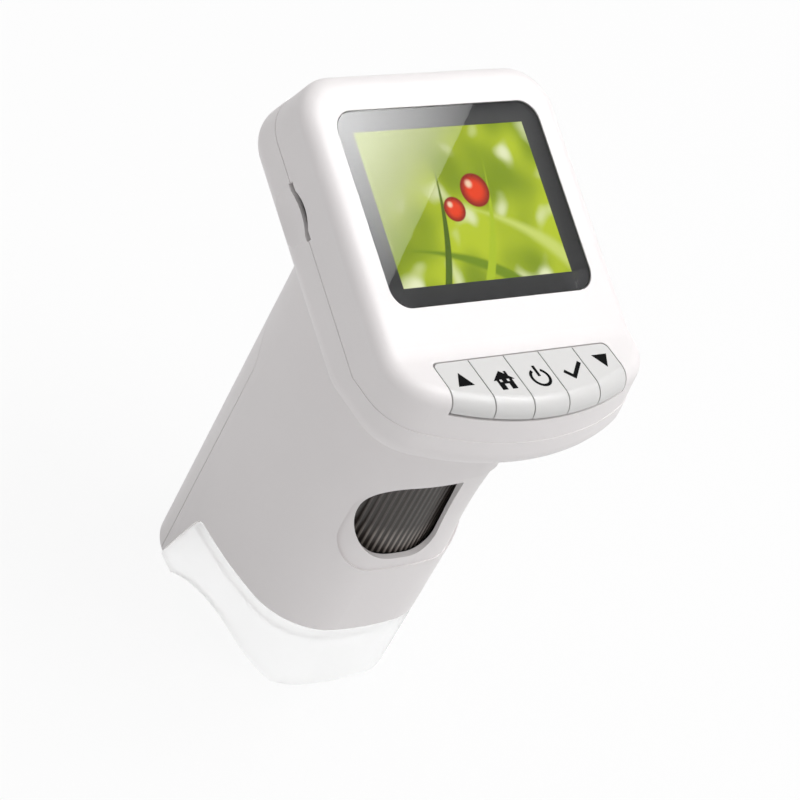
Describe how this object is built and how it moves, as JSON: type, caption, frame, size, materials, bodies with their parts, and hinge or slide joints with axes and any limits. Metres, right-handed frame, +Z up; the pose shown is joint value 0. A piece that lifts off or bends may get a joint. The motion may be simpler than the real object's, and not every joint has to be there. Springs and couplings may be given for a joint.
{
  "type": "handheld digital microscope with a screen",
  "caption": "Handheld digital microscope: tilted screen head with a key row, oval body with a focus wheel, clear base cap.",
  "frame": {"origin": "on the ground, below the middle of the bounding box", "axes": "+Z up, +X to the right of the person who looks at the screen, -Y towards that person"},
  "size_m": [0.0608, 0.073, 0.111],
  "materials": {
    "white_shell": "satin white moulded ABS",
    "key_plastic": "satin white moulded ABS keys",
    "clear_lens": "polished clear acrylic",
    "black_print": "black screen print on film",
    "display": "colour display with a picture on it",
    "tray_metal": "pressed sheet",
    "foam": "black foam",
    "circuit_board": "green solder mask",
    "chip_resin": "black moulding resin",
    "sensor_glass": "image sensor with cover glass",
    "socket_steel": "nickel-plated sheet",
    "screw_steel": "zinc-plated screw",
    "cover_rubber": "soft white TPE",
    "switch_plastic": "black switch housing",
    "clear_cap": "clear moulded polycarbonate",
    "diffuser": "frosted white plate",
    "led_resin": "white LED with yellow phosphor",
    "frame_plastic": "black moulded ABS",
    "wheel_plastic": "dark grey-brown moulded ABS",
    "barrel_plastic": "black moulded polycarbonate",
    "optical_glass": "coated optical glass",
    "cable_film": "amber flexible film",
    "battery_foil": "foil pouch cell"
  },
  "bodies": {
    "housing": {"head_front_shell": "white_shell", "head_rear_shell": "white_shell", "body_shell": "white_shell", "back_cover": "white_shell", "screen_lens": "clear_lens", "screen_mask": "black_print", "lcd_panel": "display", "lcd_tray": "tray_metal", "lcd_pad": "foam", "main_board": "circuit_board", "key_board": "circuit_board", "sensor_board": "circuit_board", "led_board": "circuit_board", "main_chips": "chip_resin", "image_sensor": "sensor_glass", "card_socket": "socket_steel", "usb_socket": "socket_steel", "shell_screws": "screw_steel", "board_screws": "screw_steel", "flange_screws": "screw_steel", "frame_screws": "screw_steel", "tact_switches": "switch_plastic", "base_cap": "clear_cap", "diffuser_plate": "diffuser", "leds": "led_resin", "wheel_frame": "frame_plastic", "sensor_cable": "cable_film", "battery": "battery_foil"},
    "up_key": {"up_key": "key_plastic"},
    "home_key": {"home_key": "key_plastic"},
    "power_key": {"power_key": "key_plastic"},
    "ok_key": {"ok_key": "key_plastic"},
    "down_key": {"down_key": "key_plastic"},
    "wheel": {"focus_wheel": "wheel_plastic"},
    "barrel": {"lens_barrel": "barrel_plastic", "objective_lens": "optical_glass", "rear_lens": "optical_glass"},
    "cover": {"port_cover": "cover_rubber"}
  },
  "joints": [
    {"name": "up_press", "type": "slide", "parent": "housing", "child": "up_key", "axis": [0, 0, -1], "range_m": [0, 0.0003], "stiffness_N_per_m": 1000, "springref_m": -0.0002},
    {"name": "home_press", "type": "slide", "parent": "housing", "child": "home_key", "axis": [0, 0, -1], "range_m": [0, 0.0003], "stiffness_N_per_m": 1000, "springref_m": -0.0002},
    {"name": "power_press", "type": "slide", "parent": "housing", "child": "power_key", "axis": [0, 0, -1], "range_m": [0, 0.0003], "stiffness_N_per_m": 1000, "springref_m": -0.0002},
    {"name": "ok_press", "type": "slide", "parent": "housing", "child": "ok_key", "axis": [0, 0, -1], "range_m": [0, 0.0003], "stiffness_N_per_m": 1000, "springref_m": -0.0002},
    {"name": "down_press", "type": "slide", "parent": "housing", "child": "down_key", "axis": [0, 0, -1], "range_m": [0, 0.0003], "stiffness_N_per_m": 1000, "springref_m": -0.0002},
    {"name": "focus_turn", "type": "hinge", "parent": "housing", "child": "wheel", "pos_m": [0, -0.00415, 0.0463], "axis": [0, 0, 1], "range_deg": [-150, 150]},
    {"name": "focus_slide", "type": "slide", "parent": "housing", "child": "barrel", "axis": [0, 0, 1], "range_m": [-0.004, 0.004]},
    {"name": "cover_swing", "type": "hinge", "parent": "housing", "child": "cover", "pos_m": [0.0219, 0.03397, 0.10463], "axis": [0, 0.4067, -0.9135], "range_deg": [0, 110]}
  ],
  "couplings": [
    {"joint": "focus_slide", "follows": "focus_turn", "m_per_rad": 0.0015279}
  ]
}
